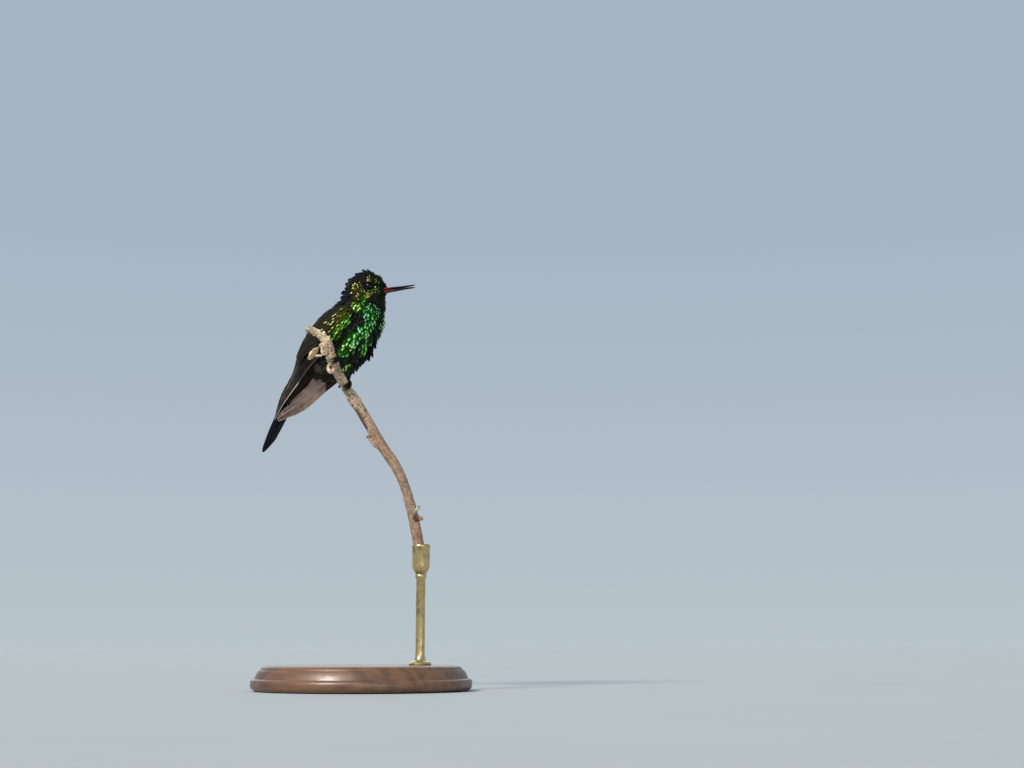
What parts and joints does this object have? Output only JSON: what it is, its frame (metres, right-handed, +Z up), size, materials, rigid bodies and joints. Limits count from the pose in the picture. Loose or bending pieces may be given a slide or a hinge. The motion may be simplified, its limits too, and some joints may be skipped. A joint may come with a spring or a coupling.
{
  "type": "hummingbird",
  "caption": "Life-size perched hummingbird with folded wings and a straight red and black bill, gripping a cut twig that a turned display stand carries.",
  "frame": {"origin": "centre of the underside of the stand's round base", "axes": "+Z up, +X the way the bird faces, +Y to the bird's left"},
  "size_m": [0.0796, 0.072, 0.1395],
  "materials": {
    "green_feathers": "iridescent body feathers, glittering green",
    "gold_green_feathers": "iridescent head feathers, gold-green",
    "dark_feathers": "dark green-black feathers of the belly, thighs and tail coverts",
    "covert_feathers": "bronze-green wing coverts",
    "flight_feathers": "dark brown flight feathers",
    "tail_feathers": "blue-black tail feathers with a slight sheen",
    "bill_upper": "satin horn, blackish",
    "bill_lower": "satin horn, dull red with a black tip",
    "eye": "wet, very dark brown",
    "foot": "dark scaly skin",
    "claw": "dark horn",
    "bark": "weathered, dry bark",
    "brass": "brushed, aged",
    "walnut": "turned and oiled"
  },
  "bodies": {
    "root": {"trunk": "green_feathers", "neck": "green_feathers", "head": "gold_green_feathers", "tail_coverts": "dark_feathers", "thigh_left": "dark_feathers", "thigh_right": "dark_feathers", "wing_left": "covert_feathers", "wing_right": "covert_feathers", "primaries_left": "flight_feathers", "primaries_right": "flight_feathers", "tail": "tail_feathers", "bill_upper": "bill_upper", "bill_lower": "bill_lower", "eye_left": "eye", "eye_right": "eye", "tarsus_left": "foot", "tarsus_right": "foot", "foot_left": "foot", "foot_right": "foot", "perch": "bark", "stand_rod": "brass", "stand_base": "walnut", "claw_left_1": "claw", "claw_left_2": "claw", "claw_left_3": "claw", "claw_left_4": "claw", "claw_right_1": "claw", "claw_right_2": "claw", "claw_right_3": "claw", "claw_right_4": "claw"}
  },
  "joints": []
}
